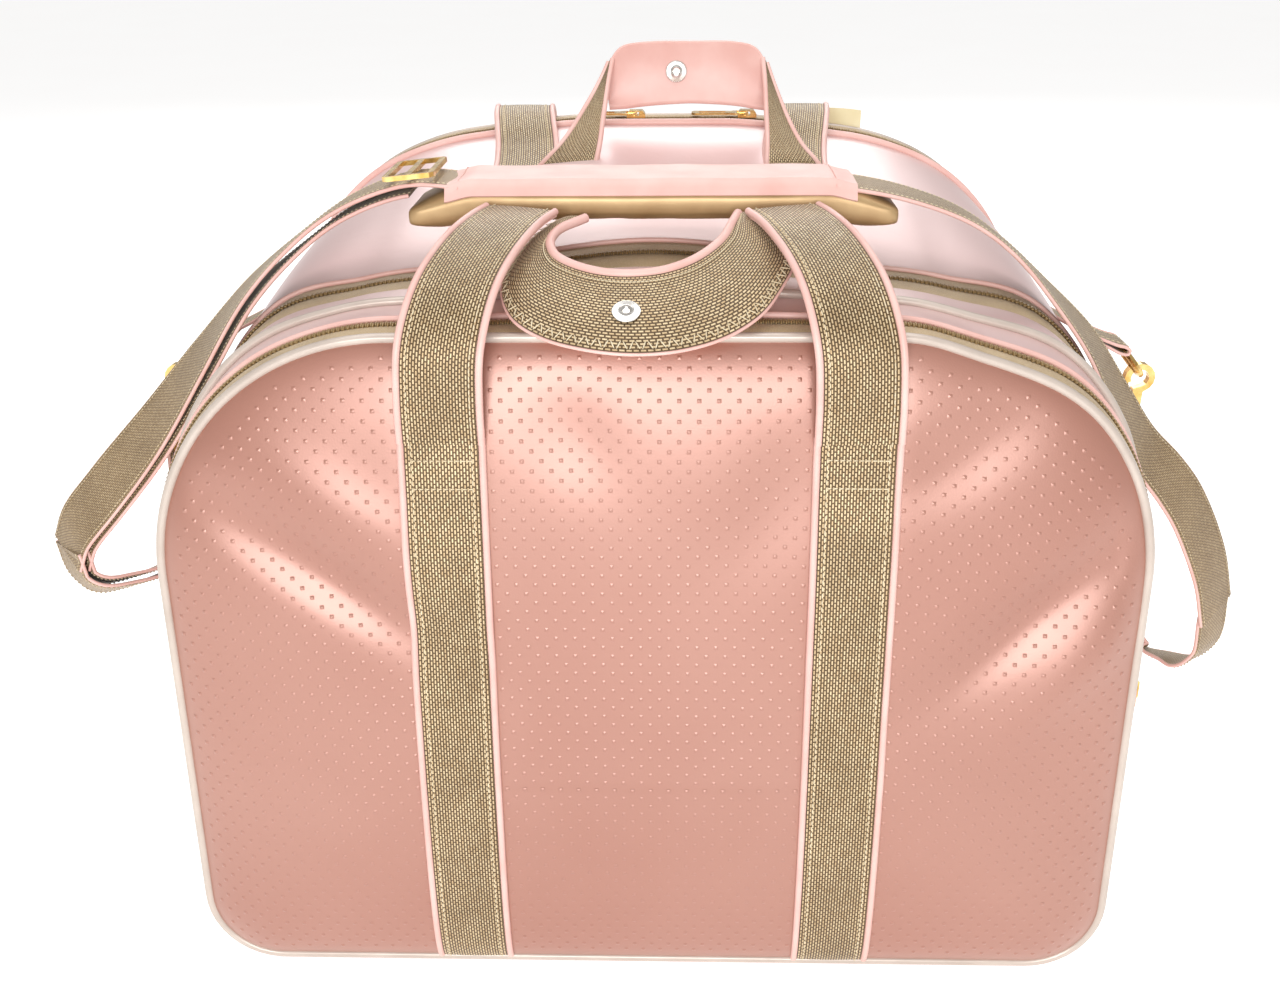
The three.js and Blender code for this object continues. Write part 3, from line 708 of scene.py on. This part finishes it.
# ---------------------------------------------------------------- handle webbing on the panels
def sewn_strap(name, side, sx, z0, z1, bodies, fold_z):
    """Webbing over a pink bound edge, sewn down a panel."""
    z = np.linspace(z0, z1, 90)
    x = np.full(z.shape, float(sx))
    lie = lambda dx, lift: panel_point(x + dx, z, side, lift)
    mid = 0.5 * (lie(-14, 2.0) + lie(14, 2.0))
    across = lie(18, 2.0) - lie(-18, 2.0)
    across /= np.linalg.norm(across, axis=1, keepdims=True)
    if side > 0:
        across = -across
    web = ribbon(name + "_webbing", mid, across, 34, [WEBBING], 1.6, crown=0.5, step=3)
    back = ribbon(name + "_backing", mid - np.array([0, side * 1.7, 0]), across, 39, [EDGING], 1.4,
                  crown=0.2, step=5)
    edges = [tube(f"{name}_edge_{tag}", mid + across * s * 18.8 + np.array([0, side * -0.6, 0]), 1.75,
                  [EDGING], sides=3)
             for tag, s in (("a", -1), ("b", 1))]
    made = [web, back, *edges]
    up = np.array([0, side * 1.0, 0])
    for tag, s in (("a", -1), ("b", 1)):
        line = even_line(mid + across * s * 14.0 + up * 0.35, int(length(mid) / 3.4))
        way = np.gradient(line, axis=0)
        made.append(repeat(f"{name}_stitch_{tag}", line, way, np.tile(across[0], (len(line), 1)),
                           (2.5, 0.7, 0.6), [THREAD], 0.3))
    # rows of stitching across, where the strap leaves the panel
    for row_at, tag in ((z1 - 9, "top"), (z1 - 22, "foot")):
        k = int(np.argmin(np.abs(z - row_at)))
        row = mid[k] + across[k] * np.linspace(-13, 13, 10)[:, None] + up * 0.75
        made.append(repeat(f"{name}_stitch_{tag}", row, np.tile(across[k], (10, 1)),
                           np.tile([0.0, 0, 1], (10, 1)),
                           (2.2, 0.7, 0.6), [THREAD], 0.3))
    bends(*bodies, fold_z, *made)
    return made


for tag, sx in (("left", -95), ("right", 95)):
    made = sewn_strap("front_strap_" + tag, -1, sx, 7, 301, ("front_pocket", "front_flap"), FLAP_Z)
    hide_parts(f"front_strap_{tag}_lower", f"front_strap_{tag}_upper")
    made = sewn_strap("rear_strap_" + tag, 1, sx, 7, 338, ("main_body", "rear_flap"), 168.3)
    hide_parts(f"rear_strap_{tag}_upper")


def free_strap(name, middle, across, width, n=60, thick=1.6, mats=None, edge_r=1.75, stitches=True,
               back=True):
    """A loose length of the same bound webbing, through points with their own across directions."""
    mid = smooth_line(middle, n)
    acr = smooth_line(across, n) if len(across) > 2 else interp(np.asarray(across, float),
                                                                np.linspace(0, 1, n))
    way = np.gradient(mid, axis=0)
    way /= np.linalg.norm(way, axis=1, keepdims=True)
    acr = acr - way * (acr * way).sum(1, keepdims=True)
    acr /= np.linalg.norm(acr, axis=1, keepdims=True)
    up = np.cross(acr, way)
    made = [ribbon(name + "_webbing", mid, acr, width - 6, mats or [WEBBING], thick, crown=0.4, step=2.5)]
    if back:
        made.append(ribbon(name + "_backing", mid - up * 1.7, acr, width - 1, [EDGING], 1.3, crown=0.1,
                           step=3))
    made += [tube(f"{name}_edge_{tag}", mid + acr * s * (width / 2 - 1.2) - up * 0.6, edge_r, [EDGING],
                  sides=3)
             for tag, s in (("a", -1), ("b", 1))]
    if stitches:
        for tag, s in (("a", -1), ("b", 1)):
            line = even_line(mid + acr * s * (width / 2 - 5.6) + up * 0.25, int(length(mid) / 3.2))
            made.append(repeat(f"{name}_stitch_{tag}", line, np.gradient(line, axis=0),
                               np.tile(acr[n // 2], (len(line), 1)), (2.4, 0.6, 0.5), [THREAD], 0.3))
    return made, mid, acr, up


# ---- front handle ----
LEG = [(95, -186.5, 299), (94.5, -187.5, 320), (93, -186, 342), (90, -179, 357), (86, -166, 369),
       (81, -148, 377),
       (75, -128, 382.5), (69, -110, 385.5), (64, -97, 386.5)]
LEG_ACROSS = [(1, 0, 0), (1, 0, 0), (1, 0.05, 0), (0.99, 0.15, 0.02), (0.97, 0.24, 0.02), (0.95, 0.3, 0.02),
              (0.94, 0.34, 0.0), (0.93, 0.36, 0.0), (0.92, 0.38, 0.0)]
for tag, s in (("left", -1), ("right", 1)):
    flip = np.array([s, 1, 1])
    middle = [tuple(np.array(p) * flip) for p in LEG]
    across = [tuple(np.array(p) * np.array([1, s, s])) for p in LEG_ACROSS]
    made, *_ = free_strap("front_leg_" + tag, middle, across, 40)
    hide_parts("front_leg_" + tag)
    rides("front_handle", *made)

GRIP_OUT = [(-47, -99, 380.5), (-57, -118, 376), (-64, -138, 369), (-67.5, -154, 362), (-62, -168, 353.5),
            (-48, -179, 348),
            (-29, -186, 345), (-8, -188.5, 343.5), (14, -186.5, 344.5), (34, -180, 348.5), (50, -168, 355),
            (60, -152, 363),
            (66, -136, 370), (62, -118, 377), (55, -99, 381.5)]
GRIP_IN = [(-32, -99, 382), (-44, -112, 379.5), (-47.5, -124, 376.5), (-44, -136, 373), (-35, -144, 370.5),
           (-22, -149, 368.5),
           (-8, -150, 368), (6, -148, 369), (18, -142.5, 371.5), (27, -134, 374.5), (34, -124, 378),
           (38, -113, 381.5),
           (40, -106, 383), (41, -102, 383.5), (42, -99, 384)]


def grip_pieces(name, outer, inner, body, up):
    a, b = smooth_line(outer, 90), smooth_line(inner, 90)

    def place(u, v, lift=0.0):
        p, q = interp(a, u), interp(b, u)
        s = 2 * v - 1
        bow = 2.2 * (1 - s ** 2)
        return p + (q - p) * v[:, None] + np.asarray(up) * (bow + lift)[:, None]

    web = cloth(name + "_webbing", 110, 16, place, [WEBBING], 1.5, away=up, size=(length(a) * 0.85, 40),
                smooth=60)
    under = cloth(name + "_lining", 110, 16, lambda u, v: place(u, v, -1.7), [EDGING], 1.0, away=up,
                  size=(180, 40), smooth=60)
    rim = tube(name + "_rim", b - np.asarray(up) * 0.3, 2.3, [EDGING], sides=3)
    lip = tube(name + "_lip", a - np.asarray(up) * 1.4, 0.9, [EDGING], sides=3)
    u = np.linspace(0.02, 0.98, 96)
    row = place(u, np.full(u.shape, 0.07), 0.35)
    row2 = place(u, np.full(u.shape, 0.86), 0.35)
    way = np.gradient(row, axis=0)
    cross = interp(b, u) - interp(a, u)
    lean = np.where(np.arange(len(u)) % 2, 1.0, -1.0)[:, None]
    zig = repeat(name + "_zigzag", row, cross / 12 + way * lean * 0.55, way, (4.6, 0.6, 0.5), [THREAD], 0.3)
    hem = repeat(name + "_hem_stitch", row2, way, cross, (1.7, 0.6, 0.5), [THREAD], 0.3)
    rides(body, web, under, rim, lip, zig, hem)
    return web, place


def press_snap(name, at, way, body, radius=6.6):
    """A press stud: a flat flanged ring with a dished middle, turned as a profile round its axis."""
    deselect()
    profile = [(0.0, 0.5), (1.6, 0.55), (2.0, 1.1), (2.7, 1.5), (3.4, 1.1), (3.9, 0.9),
               (radius - 0.9, 0.95),
               (radius - 0.2, 0.7), (radius, 0.25), (radius - 0.2, 0.0), (0.0, 0.0)]
    mesh = bpy.data.meshes.new(name)
    mesh.from_pydata([(r * MM, 0, h * MM) for r, h in profile],
                     [(i, i + 1) for i in range(len(profile) - 1)], [])
    piece = bpy.data.objects.new(name, mesh)
    bpy.context.scene.collection.objects.link(piece)
    lathe = piece.modifiers.new("turned", "SCREW")
    lathe.angle, lathe.steps, lathe.render_steps, lathe.use_merge_vertices = 2 * math.pi, 40, 40, True
    lathe.merge_threshold = 1e-6
    lathe.use_normal_calculate = True
    apply_all(piece)
    bpy.ops.object.mode_set(mode="EDIT")
    bpy.ops.mesh.select_all(action="SELECT")
    bpy.ops.mesh.remove_doubles(threshold=1e-6)
    bpy.ops.mesh.normals_make_consistent(inside=False)
    bpy.ops.object.mode_set(mode="OBJECT")
    turn = Vector(way).to_track_quat("Z", "Y").to_matrix().to_4x4()
    piece.data.transform(Matrix.Translation(Vector(at) * MM) @ turn)
    finish(piece, [SNAP], 40)
    rides(body, piece)
    return piece


up = np.array([0, -0.52, 0.854])
web, on_grip = grip_pieces("front_grip", GRIP_OUT, GRIP_IN, "front_grip", up)
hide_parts("front_grip")
press_snap("front_grip_snap", on_grip(np.array([0.49]), np.array([0.46]), 0.2)[0], (0, -0.46, 0.89),
           "front_grip")

# ---- rear handle: the legs flop forward over the zip and the roof, turn, and rise to a grip that stands ----
REAR_PATCH = [(0, 156, 376), (0, 157.5, 386), (0, 155, 395), (0, 147, 400), (0, 128, 400), (0, 108, 395),
              (0, 85, 387), (0, 58, 379.5), (0, 40, 375.5)]


def sheet_between(name, edge_a, edge_b, mats, away, nu=40, nv=10, thick=1.6, bow=0.8):
    """Bound webbing between two edge curves, with a rolled edge along each."""
    a, b = smooth_line(edge_a, 60), smooth_line(edge_b, 60)
    away = np.asarray(away, float)

    def place(u, v, lift=0.0):
        p, q = interp(a, u), interp(b, u)
        return p + (q - p) * v[:, None] + away * (bow * (1 - (2 * v - 1) ** 2) + lift)[:, None]

    web = cloth(name + "_webbing", nu, nv, place, mats, thick, away=away, size=(length(a), 36), smooth=60)
    under = cloth(name + "_backing", nu, nv, lambda u, v: place(u, v, -1.7), [EDGING], 1.2, away=away,
                  size=(60, 36), smooth=60)
    made = [web, under]
    for tag, line in (("a", a), ("b", b)):
        made.append(tube(f"{name}_edge_{tag}", line - away * 0.7, 1.6, [EDGING], sides=3))
    return made


for tag, sx, s in (("left", -87, -1), ("right", 92, 1)):
    middle = [(sx - s * 9 * float(smoothstep(-p[1], -150, -55)), p[1], p[2]) for p in REAR_PATCH]
    made, *_ = free_strap("rear_leg_" + tag, middle, [(-1, 0, 0), (-1, 0, 0)], 38, n=50)
    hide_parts("rear_leg_" + tag)
    rides("rear_handle", *made)
L_RISE_A = [(-74, 52, 374), (-69, 54, 379), (-56, 66, 391), (-42, 88, 410), (-34, 103, 423),
            (-30, 110, 431)]
L_RISE_B = [(-36, 50, 374), (-36, 52, 379), (-34, 64, 390), (-32, 86, 407), (-29.5, 103, 424),
            (-27.5, 110, 433)]
R_RISE_A = [(66, 50, 374), (66, 52, 379), (67, 66, 390), (67, 86, 406), (66.5, 103, 423), (65.5, 110, 433)]
R_RISE_B = [(100, 52, 374), (96, 54, 380), (88, 64, 388), (81, 80, 399), (73, 102, 417), (68, 110, 430)]
for name, a, b in (("rear_riser_left", L_RISE_A, L_RISE_B), ("rear_riser_right", R_RISE_A, R_RISE_B)):
    rides("rear_handle", *sheet_between(name, a, b, [WEBBING], (0, -0.75, 0.66)))
R_OUT = [(-31, 110, 410), (-31, 111, 422), (-28, 112, 432), (-22, 112.5, 439), (-10, 113, 441.5),
         (20, 113, 442), (48, 113, 441.5),
         (60, 112.5, 438.5), (66, 112, 431), (69, 111, 421), (70, 110, 409)]
R_IN = [(-30, 110, 404.5), (-20, 110.5, 405), (-11, 111, 406), (0, 111, 407), (10, 111, 407.6),
        (21, 111, 408), (32, 111, 407.6),
        (42, 111, 407), (52, 111, 406), (61, 110.5, 404.5), (69, 110, 403.5)]
web, on_grip = grip_pieces("rear_grip", R_OUT, R_IN, "rear_handle", np.array([0, 1.0, 0.0]))
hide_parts("rear_grip")
snap_at = on_grip(np.array([0.44]), np.array([0.5]), -3.2)[0]
press_snap("rear_grip_snap", snap_at, (0, -1, 0.1), "rear_handle")

# ---------------------------------------------------------------- shoulder strap
BELT_Y, HOOK_Y, BELT_W, TWIST = -62.0, -20.0, 38.0, 45
BELT_RIGHT = [(0, 394), (70, 394), (100, 392), (130, 386), (160, 375), (184, 359), (210, 335), (237, 307),
              (259, 274),
              (277, 247), (294, 229), (308, 211), (328, 172), (337, 142)]
DROP_RIGHT = [(337, 142), (337, 112), (326, 93), (309, 90), (299, 104), (293, 140), (288, 180), (282, 205),
              (280, 232)]
BELT_LEFT = [(0, 394), (-70, 394), (-98, 394), (-116, 395.4), (-132, 393), (-160, 382), (-188, 363),
             (-219, 337),
             (-252, 300), (-287, 259), (-324, 219), (-345, 195), (-353, 178)]
DROP_LEFT = [(-353, 178), (-349, 157), (-333, 143), (-312, 139), (-296, 147), (-287, 168), (-283, 198),
             (-280, 232)]


def belt_line(line, back, inset=0.0, n=110):
    p = smooth_line(np.array([(x, 0, z) for x, z in line], float), n)
    side = np.sign(line[-1][0])
    ax = np.abs(p[:, 0])
    inner = 1 - smoothstep(ax, 295, 345) if back else np.zeros(n)
    p[:, 1] = BELT_Y + (HOOK_Y - BELT_Y) * inner
    way = np.gradient(p, axis=0)
    way /= np.linalg.norm(way, axis=1, keepdims=True)
    flat = np.tile([0.0, 1.0, 0.0], (n, 1))
    flat -= way * (flat * way).sum(1, keepdims=True)
    flat /= np.linalg.norm(flat, axis=1, keepdims=True)
    outward = np.cross(flat, way) * (-side)
    # the belt twists as it hangs, until its outer face looks forward
    twist = math.radians(TWIST) * (smoothstep(ax, 288, 337) if back else smoothstep(ax, 170, 325))[:, None]
    across = flat * np.cos(twist) + outward * np.sin(twist)
    up = outward * np.cos(twist) - flat * np.sin(twist)
    p = p - outward * np.sin(twist) * BELT_W * 0.2
    return p - up * inset, across, up


def belt(name, line, back, inset=0.0, start=0.0, n=110):
    p, across, up = belt_line(line, back, inset, n)
    k = int(start * n)
    p, across, up = p[k:], across[k:], up[k:]
    s = -np.sign(line[-1][0])
    web = ribbon(name + "_webbing", p, across * s, BELT_W - 1, [BELTING, EDGING], 1.9, crown=0.3, step=3.0,
                 nv=10)
    made = [web]
    for tag, e in (("a", -1), ("b", 1)):
        rim = p + across * e * (BELT_W / 2 - 0.6) - up * 1.1
        made.append(tube(f"{name}_rim_{tag}", rim, 1.05, [EDGING], sides=2))
        row = even_line(p + across * e * (BELT_W / 2 - 2.6) + up * 0.15, int(length(p) / 2.6))
        made.append(repeat(f"{name}_stitch_{tag}", row, np.gradient(row, axis=0),
                           np.tile([0.0, 1.0, 0.0], (len(row), 1)),
                           (1.4, 1.5, 0.5), [THREAD], 0.3))
    return made


belts = belt("strap_right", BELT_RIGHT, False)
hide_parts("strap_right")
more = belt("strap_left", BELT_LEFT, False)
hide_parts("strap_left")
twin = belt("strap_return", BELT_LEFT, False, inset=5.0, start=0.28)
rides("shoulder_strap", *belts, *more, *twin)
for tag, line, x0, x1 in (("right", DROP_RIGHT, 0.298, 0.338), ("left", DROP_LEFT, -0.296, -0.352)):
    made = belt("strap_drop_" + tag, line, True, n=90)
    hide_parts("strap_drop_" + tag)
    if tag == "left":
        made += belt("strap_drop_return", line, True, inset=5.0, n=90)
    for piece in made:
        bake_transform(piece)

# ---- the shoulder pad: a simulated cushion ----
def pad_cushion():
    deselect()
    bpy.ops.mesh.primitive_cube_add(size=1)
    pad = bpy.context.object
    pad.name = pad.data.name = "shoulder_pad_cushion"
    pad.data.transform(Matrix.Diagonal((0.250, 0.058, 0.0115, 1)))
    bpy.ops.object.mode_set(mode="EDIT")
    bpy.ops.mesh.select_all(action="SELECT")
    bpy.ops.mesh.bevel(offset=0.0035, segments=3, affect="EDGES")
    bpy.ops.object.mode_set(mode="OBJECT")
    mesh_again = pad.modifiers.new("even", "REMESH")
    mesh_again.mode, mesh_again.voxel_size = "VOXEL", 0.004
    apply_all(pad)
    before = np.array([v.co for v in pad.data.vertices])
    cloth_mod = pad.modifiers.new("stuffing", "CLOTH")
    cloth_mod.settings.use_pressure = True
    cloth_mod.settings.uniform_pressure_force = 4
    cloth_mod.settings.effector_weights.gravity = 0
    for f in range(1, 21):
        bpy.context.scene.frame_set(f)
    apply_all(pad)
    bpy.context.scene.frame_set(1)
    after = np.array([v.co for v in pad.data.vertices])
    step = after - before
    far = np.linalg.norm(step, axis=1, keepdims=True)
    write = before + step * np.minimum(1, 0.0035 / np.maximum(far, 1e-9))
    pad.data.vertices.foreach_set("co", write.ravel())
    co = np.array([v.co for v in pad.data.vertices]) / MM
    x, y, z = co.T
    width = 1 - 0.16 * smoothstep(np.abs(x), 60, 128)
    lift = -7.5 * smoothstep(np.abs(x), 78, 132)
    write_points(pad.data,
                 np.stack([x, y * width - 60,
                           z * (1 - 0.15 * smoothstep(np.abs(x), 100, 130)) + 384.9 + lift], -1))
    fine = pad.modifiers.new("fine", "SUBSURF")
    fine.levels = fine.render_levels = 1
    apply_all(pad)
    finish(pad, [PAD_SKIN], 60)
    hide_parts("shoulder_pad")
    return pad


pad = pad_cushion()


def sleeve_place(u, v):
    x = (u - 0.5) * 205
    y = -62 + (v - 0.5) * 46
    s = np.abs(2 * v - 1)
    z = 397.0 - 7.5 * smoothstep(s, 0.8, 1.0) + 0.25 * np.sin(x / 9) * np.sin(v * 9)
    z = z - 3.0 * smoothstep(np.abs(x), 88, 104)
    return np.stack([x - 1, y, z], -1)


sleeve = cloth("pad_sleeve_cloth", 90, 22, sleeve_place, [EDGING], 1.3, away=(0, 0, 1), size=(205, 46),
               smooth=60)
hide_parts("pad_sleeve")
ends = []
for x in (-96, 92):
    v = np.linspace(0.06, 0.94, 15)
    row = sleeve_place(np.full(15, x / 205 + 0.5), v) + [0, 0, 0.2]
    ends.append(repeat(f"sleeve_stitch_{'a' if x < 0 else 'b'}", row, np.gradient(row, axis=0),
                       np.tile([1.0, 0, 0], (15, 1)),
                       (2.0, 0.6, 0.5), [PINK_THREAD], 0.3))
rides("shoulder_pad", pad, sleeve, *ends)

# ---- side loops that hold the D-rings ----
for tag, s in (("left", -1), ("right", 1)):
    middle = [(s * 216, HOOK_Y, 316), (s * 226, HOOK_Y, 309.5), (s * 238, HOOK_Y, 303.5),
              (s * 250, HOOK_Y, 298.3),
              (s * 260, HOOK_Y, 294.5), (s * 265, HOOK_Y, 293.2), (s * 267.6, HOOK_Y, 291),
              (s * 266.6, HOOK_Y, 288.2),
              (s * 262.5, HOOK_Y, 288.4), (s * 254, HOOK_Y, 292.5), (s * 240, HOOK_Y, 299)]
    made, *_ = free_strap("side_loop_" + tag, middle, [(0, -s, 0), (0, -s, 0)], 26, n=60, thick=1.2,
                          back=False, edge_r=0.9)
    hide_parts("side_tab_" + tag)
    rides("main_body", *made)

# ---- cream tag at the rear zip ----
tag = cloth("zip_tag", 14, 8, lambda u,
            v: np.stack([107 + 28 * u, 158 + 0 * u, 396 - 16 * v - 2 * u * u], -1),
            [TAG], 0.9, away=(0, -1, 0), size=(28, 14))
rides("rear_flap", tag)

# ---------------------------------------------------------------- metalware and boards from the frame
for name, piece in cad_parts.items():
    keep = name.endswith(("_slider", "_pull", "strap_adjuster")) or name.startswith(("d_ring", "hook_"))
    if keep:
        rose = name.startswith("hook_gate") or name == "pocket_zip_pull"
        mats = [ROSE if rose else GOLD]
        soft = piece.modifiers.new("worn_edges", "BEVEL")
        soft.width, soft.segments, soft.limit_method, soft.angle_limit = 0.0005, 2, "ANGLE", math.radians(35)
    elif name == "base_board":
        mats = [BOARD]
    elif name == "base_panel":
        mats = [PIPING]
    else:
        continue
    piece.data.materials.clear()
    for mat in mats:
        piece.data.materials.append(mat)

# ---------------------------------------------------------------- floor
deselect()
bpy.ops.mesh.primitive_plane_add(size=40, location=(0, 0, -0.0005))
floor = bpy.context.object
floor.name = "studio_floor"
paper, tree, shader = new_material("white_paper")
shade = node(tree, "ShaderNodeTexNoise",
             {"Vector": node(tree, "ShaderNodeTexCoord").outputs["Object"], "Scale": 3.0})
tone = ramp(tree, shade.outputs["Fac"], [(0.0, linear("#F6F5F4")), (1.0, linear("#FAFAFA"))])
tree.links.new(tone, shader.inputs["Base Color"])
shader.inputs["Roughness"].default_value = 0.9
shader.inputs["Emission Color"].default_value = (1, 1, 1, 1)
shader.inputs["Emission Strength"].default_value = 0.45
floor.data.materials.append(paper)
